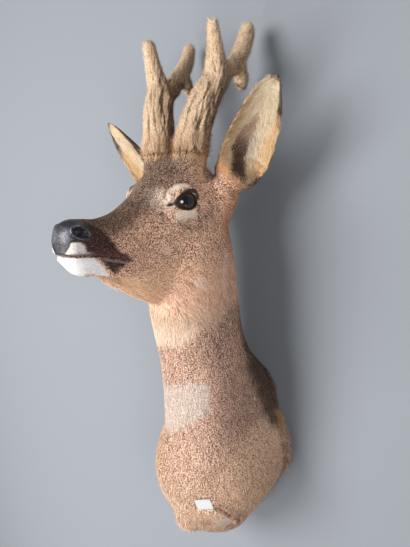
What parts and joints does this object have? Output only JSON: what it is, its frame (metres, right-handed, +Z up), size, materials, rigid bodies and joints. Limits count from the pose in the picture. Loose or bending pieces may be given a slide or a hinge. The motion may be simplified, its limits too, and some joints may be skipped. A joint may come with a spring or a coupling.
{
  "type": "roe deer shoulder mount",
  "caption": "Roe buck's head, neck and chest in short coat, antlers in velvet, glass eyes, mounted on a plain board that hangs flat on a wall.",
  "frame": {"origin": "on the board's back face, near its middle", "axes": "+Y into the wall, out of the board's back; +Z up; +X to the deer's left; the deer faces -Y"},
  "size_m": [0.24, 0.262, 0.6225],
  "materials": {
    "coat": "short grizzled fur, pinkish brown with dark and cream flecks",
    "face_coat": "very short grizzled fur, darker along the muzzle and forehead",
    "ear_coat": "cream hair inside, brown outside, black rim at the tip",
    "velvet": "dry golden velvet with lengthwise wrinkles",
    "eye_glass": "glossy black-brown glass eye",
    "board_wood": "plain stained board",
    "label_paper": "blank white tag"
  },
  "bodies": {
    "root": {"head": "face_coat", "neck": "coat", "torso": "coat", "ear_left": "ear_coat", "ear_right": "ear_coat", "eye_left": "eye_glass", "eye_right": "eye_glass", "antler_left_beam": "velvet", "antler_left_front_tine": "velvet", "antler_left_upper_beam": "velvet", "antler_left_rear_tine": "velvet", "antler_right_beam": "velvet", "antler_right_front_tine": "velvet", "antler_right_upper_beam": "velvet", "antler_right_rear_tine": "velvet", "board": "board_wood", "label": "label_paper"}
  },
  "joints": []
}
